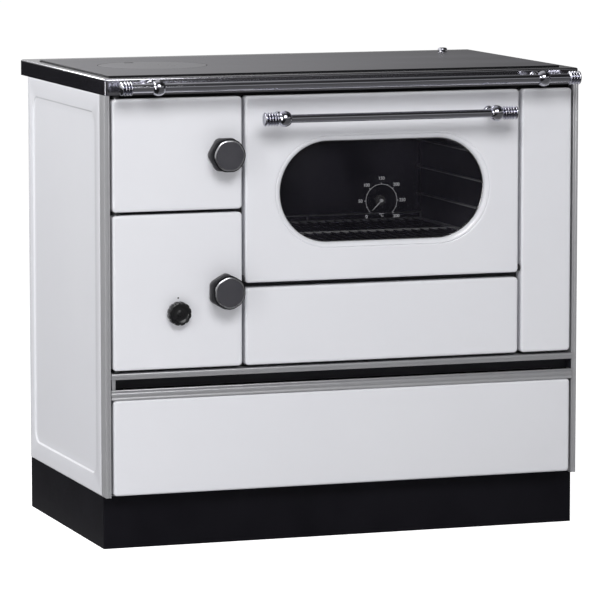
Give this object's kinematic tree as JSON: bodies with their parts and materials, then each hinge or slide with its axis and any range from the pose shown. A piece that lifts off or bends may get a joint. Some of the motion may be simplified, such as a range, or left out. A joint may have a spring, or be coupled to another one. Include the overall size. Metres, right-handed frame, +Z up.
{
  "type": "wood cookstove",
  "caption": "Enamelled wood cookstove with a firebox and ash door, drop-down oven door with an oval window, hob rail, fuel drawer and plinth.",
  "frame": {"origin": "on the floor, midway between the outermost points at both sides, front and back", "axes": "+X towards the user's right, +Y from the front to the back, +Z up"},
  "size_m": [0.9, 0.626, 0.8555],
  "materials": {
    "white_enamel": "glossy white enamel",
    "black_enamel": "glossy black enamel",
    "hob_steel": "ground steel, lightly oiled",
    "chrome": "polished",
    "aluminium": "satin anodised",
    "trim_steel": "polished edge",
    "knob_black": "satin moulded",
    "oven_glass": "tinted heat-proof",
    "needle": "light lacquer",
    "oven_enamel": "speckled dark enamel",
    "dark_steel": "heat-proof black paint",
    "zinc_steel": "galvanised",
    "wire_chrome": "plated wire and pressed sheet",
    "cast_iron": "raw casting",
    "fireclay": "fired clay",
    "rope": "braided glass fibre"
  },
  "bodies": {
    "stove": {"plinth": "black_enamel", "base_panel": "zinc_steel", "side_panel_left": "white_enamel", "side_panel_right": "white_enamel", "back_panel": "dark_steel", "post_left": "aluminium", "post_right": "aluminium", "front_frame": "dark_steel", "hob_frame": "black_enamel", "hob_plate": "hob_steel", "hob_rail": "chrome", "rail_brackets": "chrome", "firebox_casing": "dark_steel", "firebox_bricks": "fireclay", "fire_grate": "cast_iron", "ash_pan": "zinc_steel", "oven_box": "oven_enamel", "oven_guides": "wire_chrome", "oven_rack": "wire_chrome", "flue_collar": "cast_iron", "smoke_casing": "dark_steel", "smoke_baffle": "dark_steel", "soot_door": "dark_steel", "right_panel": "white_enamel", "trim_strip": "aluminium", "recess_strip": "black_enamel", "drawer_rails": "zinc_steel", "hinge_lugs": "dark_steel", "hinge_pins": "zinc_steel", "oven_hinges": "dark_steel"},
    "firebox_door": {"firebox_door_panel": "white_enamel", "firebox_door_frame": "cast_iron", "firebox_door_seal": "rope"},
    "firebox_door_latch": {"firebox_knob": "knob_black", "firebox_latch": "zinc_steel"},
    "ash_door": {"ash_door_panel": "white_enamel", "ash_door_frame": "cast_iron", "ash_door_seal": "rope"},
    "ash_door_latch": {"ash_knob": "knob_black", "ash_latch": "zinc_steel"},
    "air_regulator": {"air_knob": "knob_black", "air_disc": "zinc_steel"},
    "oven_door": {"oven_door_panel": "white_enamel", "oven_door_inner": "oven_enamel", "oven_glass": "oven_glass", "window_trim": "trim_steel", "oven_handle": "chrome", "handle_brackets": "chrome", "oven_door_seal": "rope", "thermometer_coil": "zinc_steel"},
    "thermometer": {"thermometer_needle": "needle"},
    "cover": {"cover_panel": "white_enamel"},
    "fuel_drawer": {"drawer_front": "white_enamel", "drawer_grip": "aluminium", "drawer_box": "zinc_steel", "drawer_runners": "zinc_steel"},
    "lid": {"hob_lid": "hob_steel"},
    "damper": {"damper_rod": "zinc_steel", "damper_knob": "chrome"}
  },
  "joints": [
    {"name": "firebox_door_hinge", "type": "hinge", "parent": "stove", "child": "firebox_door", "pos_m": [-0.428, -0.25, 0.704], "axis": [0, 0, -1], "range_deg": [0, 110]},
    {"name": "firebox_latch_turn", "type": "hinge", "parent": "firebox_door", "child": "firebox_door_latch", "pos_m": [-0.229, -0.258, 0.7015], "axis": [0, -1, 0], "range_deg": [0, 90]},
    {"name": "ash_door_hinge", "type": "hinge", "parent": "stove", "child": "ash_door", "pos_m": [-0.428, -0.25, 0.46], "axis": [0, 0, -1], "range_deg": [0, 110]},
    {"name": "ash_latch_turn", "type": "hinge", "parent": "ash_door", "child": "ash_door_latch", "pos_m": [-0.229, -0.258, 0.4575], "axis": [0, -1, 0], "range_deg": [0, 90]},
    {"name": "air_regulator_turn", "type": "hinge", "parent": "ash_door", "child": "air_regulator", "pos_m": [-0.316, -0.258, 0.4215], "axis": [0, 1, 0], "range_deg": [0, 45]},
    {"name": "oven_door_hinge", "type": "hinge", "parent": "stove", "child": "oven_door", "pos_m": [0.0715, -0.25, 0.478], "axis": [1, 0, 0], "range_deg": [0, 90]},
    {"name": "thermometer_turn", "type": "hinge", "parent": "oven_door", "child": "thermometer", "pos_m": [0.0715, -0.246, 0.6085], "axis": [0, 1, 0], "range_deg": [0, 270]},
    {"name": "cover_pull", "type": "slide", "parent": "stove", "child": "cover", "axis": [0, -1, 0], "range_m": [0, 0.06]},
    {"name": "drawer_slide", "type": "slide", "parent": "stove", "child": "fuel_drawer", "axis": [0, -1, 0], "range_m": [0, 0.38]},
    {"name": "lid_lift", "type": "slide", "parent": "stove", "child": "lid", "axis": [0, 0, 1], "range_m": [0, 0.06]},
    {"name": "damper_lift", "type": "slide", "parent": "stove", "child": "damper", "axis": [0, 0, 1], "range_m": [0, 0.025]}
  ]
}
